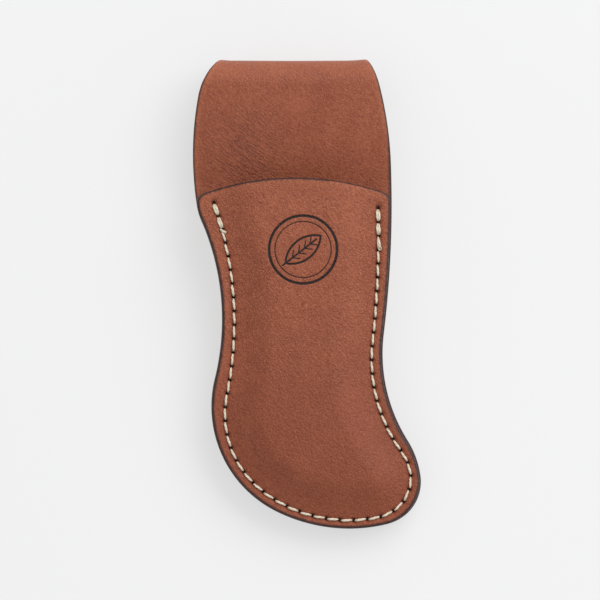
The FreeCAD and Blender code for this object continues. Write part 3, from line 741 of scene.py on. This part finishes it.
def make_front_panel():
    """The formed front of the pouch, with its mark, stitch holes and sewing channel."""
    loop = step_in(pouch_loop(0.5), 0.15, 0.6)
    band = seam_band(SEAM_ROUTE, SEAM_LENGTH, 0.26, BAND_OFFSETS)
    ticks = np.arange(-MARK_REACH, MARK_REACH + 0.21, 0.21)
    mark_mesh = np.array([(MARK_CENTRE[0] + x, MARK_CENTRE[1] + y) for y in ticks for x in ticks])
    mark_mesh = mark_mesh[from_mark(mark_mesh) < MARK_REACH]

    def skip(points):
        signed, _ = nearest(points, SEAM_LINE)
        return (np.abs(signed) < 1.75) | (from_mark(points) < MARK_REACH + 0.3)

    plan, triangles, count, drop = slab(loop, np.vstack([band, mark_mesh]), 0.8, 1.0, skip)
    y, sewn = plan[:, 1], plan[:, 1] < SEAM_TOP
    signed, along = nearest(plan, SEAM_LINE)
    from_edge = edge_distance(plan, loop)
    hole = hole_pull(plan, HOLES, 0.7)
    mark = mark_field(plan)
    lift = crown(plan)
    top = RIM_TOP + lift + waviness(plan, 0.12) * ramp(from_edge, 0.2, 2.8) - drop
    top -= 0.28 * bell(signed, 1.3) * sewn + 0.22 * hole_pull(plan, HOLES, 1.1) + 1.25 * hole
    top -= 0.32 * mark
    under = np.minimum(WELT_TOP + lift + 0.35 * (drop > 0.3), top - 0.4)

    ripple = 0.6 * np.sin(along / 3.0) + 0.25 * np.sin(along / 0.9)
    wrinkle = bell(signed - 6.2 - ripple, 0.5) + 0.7 * bell(signed - 8.4 + ripple, 0.4)
    wrinkle *= patch(plan, (-19.0, -47.0), (8.0, 11.0))
    facing_right = (plan[:, 0] > 10.0) * ramp(y, -70.0, -60.0)
    edge_width = 0.95 - 0.2 * facing_right - 0.35 * ramp(y, 33.0, 37.0)
    edge = np.clip(1.5 - from_edge / edge_width, 0.0, 1.0)
    # painted shade, growing towards the toe, where less light falls
    toe_shade = 0.65 * ramp(y, 4.0, -46.0)
    marks = {
        "edge": on_faces(edge, edge),
        # hole: painted shade in the stitch holes
        "hole": on_faces(hole),
        "mark": on_faces(mark),
        "flesh": on_faces(np.zeros(len(plan)), 1.0),
        # a lighter band inside the edge and lighter wrinkle lines: rubbed wear plus painted highlight
        "wear_and_highlight": on_faces(0.5 * bell(from_edge - 1.7, 0.7) + 0.9 * wrinkle),
        # painted shade in the sewing channel and towards the toe
        "painted_shade": on_faces(np.maximum(0.5 * bell(signed, 0.9) * sewn, toe_shade)),
        "crease": on_faces(0.45 * patch(plan, (16.0, -20.0), (9.0, 16.0))),
        "grain": np.ones(2 * len(plan)),
    }
    points = np.vstack([np.column_stack([plan, top]), np.column_stack([plan, under])])
    add_mesh("front_panel_leather", points, close_slab(triangles, count, len(plan)),
             LEATHER_MATERIAL, "front_panel", marks)


# ------------------------------------------------------------------ welt

def make_welt():
    """The strip between the panels, a U along the edge."""
    outer = step_in(pouch_loop(0.8), 0.1, 0.3)
    plan, triangles, count, drop = slab(welt_loop(outer), np.empty((0, 2)), 1.6, 0.5)
    gap = 0.02
    top = WELT_TOP - gap - drop * 0.5
    under = BACK_TOP + gap + drop * 0.5
    points = np.vstack([np.column_stack([plan, top]), np.column_stack([plan, under])])
    edge = np.clip(1.6 - edge_distance(plan, outer), 0.0, 1.0)
    marks = {"edge": on_faces(edge, edge), "flesh": np.ones(2 * len(plan))}
    add_mesh("welt_leather", points, close_slab(triangles, count, len(plan)),
             LEATHER_MATERIAL, "welt", marks)


def welt_loop(outer):
    """The U's plan: the outer line from left to right round the toe, then the inner one back."""
    points, headings = sample_route(OUTLINE_ROUTE, 0.8)
    angles = np.radians(headings)
    inner = points + np.column_stack([-np.sin(angles), np.cos(angles)]) * WELT_WIDTH
    inner = inner[inner[:, 1] < mouth_height(inner[:, 0])]
    left, right = inner[0][0], inner[-1][0]
    open_part = (outer[:, 0] > left) & (outer[:, 0] < right) & (outer[:, 1] > 30.0)
    first = np.argmax(open_part)
    outside = np.roll(outer, -first, axis=0)[~np.roll(open_part, -first)]
    start = np.array([[left, mouth_height(left)]])
    end = np.array([[right, mouth_height(right)]])
    return respace(np.vstack([outside, end, inner[::-1], start]), 0.8)


# ------------------------------------------------------------------ back panel, strap and loop

def pattern_loop(spacing):
    """The back panel's flat pattern, counter-clockwise: (x, s), with s measured from Y = 0."""
    plan, _ = sample_route(OUTLINE_ROUTE, 0.5)
    body = plan[plan[:, 1] < OUTLINE_END]
    side = np.column_stack([body[:, 0], pattern_s(body[:, 1])])
    left = taper_side(side[0], FOLD_LEFT, TAIL_LEFT, side[0] - side[2])
    right = taper_side(side[-1], FOLD_RIGHT, TAIL_RIGHT, side[-1] - side[-3])
    corner_left = np.array([TAIL_LEFT, TAIL_END])
    corner_right = np.array([TAIL_RIGHT, TAIL_END])
    right_arc = round_corner(np.array([TAIL_RIGHT, TAPER_END]), corner_right, corner_left, TAIL_CORNER)
    left_arc = round_corner(corner_right, corner_left, np.array([TAIL_LEFT, TAPER_END]), TAIL_CORNER)
    return respace(np.vstack([side, right[1:], right_arc, left_arc, left[::-1][:-1]]), spacing)


def taper_side(first, fold_x, tail_x, direction):
    """One side of the strap from the front, round the fold, to the straight tail.

    Two cubic spans through three knots, given by their slopes (dx/ds) there.
    """
    s = np.linspace(first[1], TAPER_END, 60)
    knots_s = np.array([first[1], FOLD_MIDDLE, TAPER_END])
    knots_x = np.array([first[0], fold_x, tail_x])
    middle_slope = (tail_x - first[0]) / (TAPER_END - first[1])
    slopes = np.array([direction[0] / direction[1], middle_slope, 0.0])
    x, slack = np.empty_like(s), 1e-9
    for k in range(2):
        width = knots_s[k + 1] - knots_s[k]
        here = (s >= knots_s[k] - slack) & (s <= knots_s[k + 1] + slack)
        t = (s[here] - knots_s[k]) / width
        ends = (2 * t ** 3 - 3 * t ** 2 + 1) * knots_x[k] + (3 * t ** 2 - 2 * t ** 3) * knots_x[k + 1]
        bends = (t ** 3 - 2 * t ** 2 + t) * slopes[k] + (t ** 3 - t ** 2) * slopes[k + 1]
        x[here] = ends + bends * width
    return np.column_stack([x, s])


def tail_s(y):
    """The place along the pattern of a point of the tail's rear face at y."""
    return TAIL_END - (y - (FOLD_Y - LOOP_RUN - TAIL_RUN))


def tail_band(line):
    """Points in rows along the box seam on the tail, for the fine mesh there."""
    ticks = np.arange(-1.4, 1.41, 0.35)
    result = []
    for (x1, s1), (x2, s2) in zip(line[:-1], line[1:]):
        for t in np.linspace(0, 1, 12, endpoint=False):
            middle = np.array([x1 + (x2 - x1) * t, s1 + (s2 - s1) * t])
            across = np.array([-(s2 - s1), x2 - x1]) / math.hypot(x2 - x1, s2 - s1)
            result += [middle + across * tick for tick in ticks]
    return np.array(result) + noise.uniform(-0.01, 0.01, (len(result), 2))


def fold_lift(loop, x, s, turn, round_fold):
    """How the fold flares at its sides and sags in its middle, outward from its arc."""
    left_side = bell(x - x_of_side(loop, s, -1), 2.5)
    right_side = bell(x - x_of_side(loop, s, 1), 4.0)
    flare = (0.25 * left_side + 0.4 * right_side) * ramp(turn, 0.85, 0.4)
    sag = 0.1 * np.cos(math.pi * np.clip((x - STRAP_CENTRE) / 56.0, -0.5, 0.5))
    return round_fold * (flare - sag)


def make_back_panel():
    """The back of the pouch with its strap, fold and tail, bent from one flat pattern."""
    loop = pattern_loop(0.6)
    band = seam_band(SEAM_ROUTE, SEAM_LENGTH, 0.3, BAND_OFFSETS[::2])
    tail_holes = np.column_stack([BOX_HOLES[:, 0], tail_s(BOX_HOLES[:, 1])])
    tail_line = np.vstack([tail_holes, tail_holes[:1]])

    def skip(points):
        signed, _ = nearest(points, SEAM_LINE)
        other, _ = nearest(points, tail_line)
        return (np.abs(signed) < 1.7) | (np.abs(other) < 1.6)

    plan, triangles, count, drop = slab(loop, np.vstack([band, tail_band(tail_line)]), 0.95, 0.9, skip)
    x, s = plan[:, 0], plan[:, 1]
    from_edge = edge_distance(plan, loop)
    seam, _ = nearest(plan, SEAM_LINE)
    box, _ = nearest(plan, tail_line)
    in_pouch, on_tail = s < SEAM_TOP, s > FOLD_END
    seam_hole = hole_pull(plan, HOLES, 0.55) * in_pouch
    inner_hole = hole_pull(plan, BOX_HOLES, 0.55) * in_pouch
    tail_hole = hole_pull(plan, tail_holes, 0.55) * on_tail

    turn = np.clip((s - FOLD_START) / (FOLD_END - FOLD_START), 0.0, 1.0)
    wave = (waviness(plan, 0.1) - 0.08 * smooth_step(turn)) * (s > 44.0)
    grain = BACK - drop + wave * ramp(from_edge, 0.3, 3.3)
    grain -= 0.75 * bell(box, 0.75, 4) * on_tail + 0.6 * tail_hole + 0.5 * inner_hole
    flesh = 0.8 * drop + 0.8 * bell(seam, 0.75, 4) * in_pouch + 0.6 * seam_hole
    flesh += 0.25 * bell(from_edge, 1.2)

    round_fold = np.sin(math.pi * turn) ** 0.8 * (turn > 0) * (turn < 1)
    lift = fold_lift(loop, x, s, turn, round_fold)
    cup = strap_cup(x, s)
    top_y, top_z = bend(s, grain + lift)
    low_y, low_z = bend(s, flesh + lift)
    points = np.vstack([
        np.column_stack([x, top_y, top_z + cup]),
        np.column_stack([x, low_y, low_z + cup]),
    ])
    low_right = (x > 0.0) * ramp(s, 64.0, 38.0)
    edge = np.clip(1.2 - from_edge / (0.65 + 0.75 * low_right), 0.0, 1.0)
    marks = {
        "edge": on_faces(edge, edge),
        # hole: painted shade in the stitch holes on both faces
        "hole": on_faces(np.maximum(tail_hole, inner_hole), seam_hole),
        "flesh": on_faces(np.zeros(len(plan)), 1.0),
        # lighter near the edge and on the fold's crest: rubbed wear plus painted highlight
        "wear_and_highlight": on_faces(0.6 * bell(from_edge - 1.2, 0.7) + 0.35 * round_fold),
        "crease": on_faces(patch(plan, (-19.0, 52.0), (13.0, 15.0))),
    }
    add_mesh("back_panel_leather", points, close_slab(triangles, count, len(plan)),
             LEATHER_MATERIAL, "back_panel", marks)


def x_of_side(loop, s, side):
    """X of the strap's left (-1) or right (+1) side at s."""
    half = loop[(loop[:, 0] - STRAP_CENTRE) * side > 0.0]
    half = half[half[:, 1] > 40.0]
    order = np.argsort(half[:, 1])
    return np.interp(s, half[order, 1], half[order, 0])


def strap_cup(x, s):
    """The strap's slight crosswise curve between mouth and fold, in millimetres."""
    weight = ramp(s, 42.0, 56.0) * (1 - ramp(s, FOLD_START - 6.0, FOLD_START + 6.0))
    return weight * 0.35 * np.cos((x - STRAP_CENTRE) / 36.0 * math.pi / 2)


# ------------------------------------------------------------------ threads

def tube(path, radius, sides, points, faces, marks, mark_values):
    """Adds a tube of varying radius along a path of 3-D points."""
    path = np.asarray(path)
    tangent = np.gradient(path, axis=0)
    tangent /= np.linalg.norm(tangent, axis=1)[:, None]
    guide = np.array([0.0, 0.0, 1.0])
    first = len(points)
    for i, (centre, along) in enumerate(zip(path, tangent)):
        side = np.cross(along, guide)
        if np.linalg.norm(side) < 0.2:
            side = np.cross(along, np.array([0.6, 0.8, 0.0]))
        side /= np.linalg.norm(side)
        up = np.cross(side, along)
        for k in range(sides):
            angle = 2 * math.pi * k / sides
            points.append(centre + (side * math.cos(angle) + up * math.sin(angle)) * radius[i])
            marks.append(mark_values[i])
    rings = len(path)
    for i in range(rings - 1):
        for k in range(sides):
            a, b = first + i * sides + k, first + i * sides + (k + 1) % sides
            faces.append((a, a + sides, b + sides, b))
    faces.append(tuple(first + k for k in range(sides)))
    faces.append(tuple(first + (rings - 1) * sides + k for k in reversed(range(sides))))


class Thread:
    """Gathers the plies of one thread into one piece."""

    def __init__(self, place):
        self.points, self.faces, self.stitch_shade = [], [], []
        self.place = place          # (x, y, height) of the seam to the sheath frame

    def strand(self, path, width, turns, phase, stitch_shade, plies=3, steps=26):
        """A twisted strand along (x, y, height) points; width and deep, its painted shade, are spread over
        its length.
        """
        path = np.asarray(path, float)
        lengths = np.concatenate([[0.0], np.cumsum(np.linalg.norm(np.diff(path, axis=0), axis=1))])
        wanted = np.linspace(0.0, lengths[-1], steps)
        line = np.column_stack([np.interp(wanted, lengths, path[:, i]) for i in range(3)])
        share = wanted / lengths[-1]
        tangent = np.gradient(line, axis=0)
        tangent /= np.linalg.norm(tangent, axis=1)[:, None]
        side = np.cross(tangent, np.array([0.0, 0.0, 1.0]))
        flat = np.linalg.norm(side, axis=1) < 0.15
        side[flat] = np.array([0.0, 1.0, 0.0])
        side /= np.linalg.norm(side, axis=1)[:, None]
        up = np.cross(side, tangent)
        thickness = np.interp(share, np.linspace(0, 1, len(width)), width)
        shade_here = np.interp(share, np.linspace(0, 1, len(stitch_shade)), stitch_shade)
        for ply in range(plies):
            angle = phase + 2 * math.pi * (ply / plies + turns * share)
            spread = thickness * 0.27
            sideways, upwards = np.cos(angle) * spread, np.sin(angle) * spread
            centre = line + side * sideways[:, None] + up * upwards[:, None]
            tube(self.place(centre), thickness * 0.26, 7, self.points, self.faces, self.stitch_shade, shade_here)

    def finish(self, name, node):
        add_mesh(name, self.points, self.faces, THREAD_MATERIAL, node, {"stitch_shade": self.stitch_shade})


def stitch_path(start, end, lift, sink, slant):
    """A stitch from hole to hole: up out of the first, along the surface, down into the next."""
    run = end - start
    across = np.array([-run[1], run[0]]) / np.hypot(*run)
    path = []
    for t in np.linspace(0.0, 1.0, 25):
        dive = abs(2 * t - 1) ** 5.5
        height = lift - (lift + sink) * dive - 0.10 * (t - 0.5)
        reach = 0.09 + 0.82 * t
        point = start + run * reach + across * slant * math.sin((t - 0.5) * math.pi)
        path.append((point[0], point[1], height))
    return path


THREAD_WIDTH = 0.8


def sew(thread, holes, lift, sink, tacked=()):
    """Stitches between following holes; those in tacked carry two strands side by side."""
    for number, (start, end) in enumerate(zip(holes[:-1], holes[1:])):
        run = end - start
        across = np.array([-run[1], run[0]]) / np.hypot(*run)
        jitter = noise.normal(0, 0.05, 2)
        swell = THREAD_WIDTH * noise.uniform(0.95, 1.05)
        width = [swell * 0.5, swell * 0.9, swell * 1.06, swell, swell * 0.84, swell * 0.5]
        # painted shade on the stitch's ends, where it sinks into the holes
        stitch_shade = [1.0, 0.2, 0.0, 0.0, 0.25, 1.0]
        turns = noise.uniform(1.05, 1.3)
        phase = noise.uniform(0, 2 * math.pi)
        if number in tacked:
            for side in (-1, 1):
                path = np.array(stitch_path(start, end, lift + 0.06, sink, 0.1))
                share = np.linspace(0, 1, len(path))
                spread = side * 0.36 * np.sin(math.pi * share) ** 0.45
                path[:, :2] += across * spread[:, None]
                thread.strand(path, width, turns, phase + side, stitch_shade)
            continue
        path = stitch_path(start + across * jitter[0], end + across * jitter[1], lift, sink, 0.13)
        thread.strand(path, width, turns, phase, stitch_shade)


def make_seam_threads():
    """The main seam's two threads, with the back-tacked ends of the front one."""
    def front_place(line):
        lift = crown(line[:, :2])
        return np.column_stack([line[:, :2], RIM_TOP - 0.28 + lift + line[:, 2]])

    def rear_place(line):
        return np.column_stack([line[:, :2], 0.62 - line[:, 2] * 0.8])

    last = SEAM_HOLES - 2
    tacked = (0, 1, last - 1, last)
    needle = Thread(front_place)
    sew(needle, HOLES, 0.36, 1.0, tacked)
    add_left_tail(needle)
    add_right_knot(needle)
    needle.finish("seam_thread_front", "seam_needle_thread")
    bobbin = Thread(rear_place)
    sew(bobbin, HOLES, 0.12, 1.0, tacked)
    bobbin.finish("seam_thread_rear", "seam_bobbin_thread")


def add_left_tail(thread):
    """The cut end of the thread, standing out of the third hole towards the middle."""
    hole, _ = SEAM_POINTS[2]
    x, y = hole + np.array([-0.35, -0.2])
    path = [(x - 0.3, y + 0.5, -0.6), (x, y, 0.35), (x + 0.9, y - 0.55, 0.62), (x + 1.75, y - 0.95, 0.45)]
    thread.strand(path, [0.5, 0.8, 0.85, 1.0], 0.6, 0.4, [0.9, 0.1, 0.2, 0.45], steps=14)


def add_right_knot(thread):
    """The third stitch from the right end: a second strand laid aslant, ending in a small knot."""
    start, end = HOLES[-4], HOLES[-3]
    run = end - start
    across = np.array([-run[1], run[0]]) / np.hypot(*run)
    path = np.array(stitch_path(start - across * 0.75, end + across * 0.25, 0.5, 0.5, 0.0))
    thread.strand(path, [0.75, 0.9, 0.9, 0.7], 0.9, 1.1, [0.7, 0.1, 0.0, 0.9])
    x, y = start - across * 0.55 + run * 0.10
    loop = []
    for angle in 2 * math.pi * 1.1 * np.linspace(0, 1, 18):
        cosine, sine = math.cos(angle), math.sin(angle)
        loop.append((x + 0.42 * cosine, y + 0.5 * sine, 0.42 + 0.25 * sine))
    thread.strand(loop, [0.6, 0.66, 0.6], 1.6, 0.0, [0.6, 0.25, 0.6])


def make_loop_threads():
    """The box seam's two threads, on the tail's rear and inside the pouch."""
    holes = np.vstack([BOX_HOLES, BOX_HOLES[:1]])

    def rear_place(line):
        return np.column_stack([line[:, :2], -GLUE_GAP - BACK + 0.62 - line[:, 2] * 0.8])

    def inner_place(line):
        return np.column_stack([line[:, :2], BACK_TOP - 0.1 + line[:, 2] * 0.8])

    for name, node, place in (("loop_thread_rear", "loop_needle_thread", rear_place),
                              ("loop_thread_inside", "loop_bobbin_thread", inner_place)):
        thread = Thread(place)
        sew(thread, holes, 0.12, 1.0)
        thread.finish(name, node)


# ------------------------------------------------------------------ floor, light and camera

def make_stage():
    """A plain pale floor under the sheath, partly lit from itself."""
    mesh = bpy.data.meshes.new("floor")
    size = 3.0
    corners = [(-size, -size, 0), (size, -size, 0), (size, size, 0), (-size, size, 0)]
    mesh.from_pydata(corners, [], [(0, 1, 2, 3)])
    floor = bpy.data.objects.new("floor", mesh)
    bpy.context.scene.collection.objects.link(floor)
    material, tree, shader = node_material("pale_floor")
    n = Nodes(tree)
    cloud = n.noise(n.position(), 3.0, 2.0, 0.5)
    n.put(shader.inputs["Base Color"], n.mix(n.remap(cloud, 0.3, 0.7), FLOOR_DARK, FLOOR))
    shader.inputs["Emission Color"].default_value = (1.0, 1.0, 1.0, 1.0)
    shader.inputs["Emission Strength"].default_value = 0.57
    shader.inputs["Roughness"].default_value = 0.9
    shader.inputs["Specular IOR Level"].default_value = 0.1
    mesh.materials.append(material)


def area_light(name, place, target, size, power):
    data = bpy.data.lights.new(name, "AREA")
    data.shape = "RECTANGLE"
    data.size, data.size_y = size
    data.energy = power
    light = bpy.data.objects.new(name, data)
    light.location = place
    light.rotation_euler = (Vector(target) - Vector(place)).to_track_quat("-Z", "Y").to_euler()
    bpy.context.scene.collection.objects.link(light)


def make_light():
    """An even pale room and one large soft light from behind on the right."""
    world = bpy.data.worlds.new("studio")
    world.use_nodes = True
    background = world.node_tree.nodes["Background"]
    background.inputs["Color"].default_value = (1.0, 1.0, 1.0, 1.0)
    background.inputs["Strength"].default_value = 0.62
    bpy.context.scene.world = world
    area_light("key", (0.9, 1.0, 1.1), (0.0, 0.0, 0.0), (2.0, 1.3), 26.0)


def make_camera():
    """Above the sheath and nearly square to its front, as a catalogue picture is taken."""
    data = bpy.data.cameras.new("camera")
    camera = bpy.data.objects.new("camera", data)
    bpy.context.scene.collection.objects.link(camera)
    distance, width = 1.6, 0.2053
    subject = REST @ Vector((-0.3, -0.2, RIM_TOP))
    lean = math.radians(4.0)
    camera.location = subject + distance * Vector((0.0, -math.sin(lean), math.cos(lean)))
    camera.rotation_euler = (lean, 0.0, 0.0)
    data.sensor_width = 36.0
    data.lens = data.sensor_width * distance / width
    data.clip_start, data.clip_end = 0.05, 20.0
    bpy.context.scene.camera = camera


make_camera()
make_stage()
make_light()
make_back_panel()
make_welt()
make_front_panel()
make_seam_threads()
make_loop_threads()
bpy.context.scene.view_settings.view_transform = "Standard"
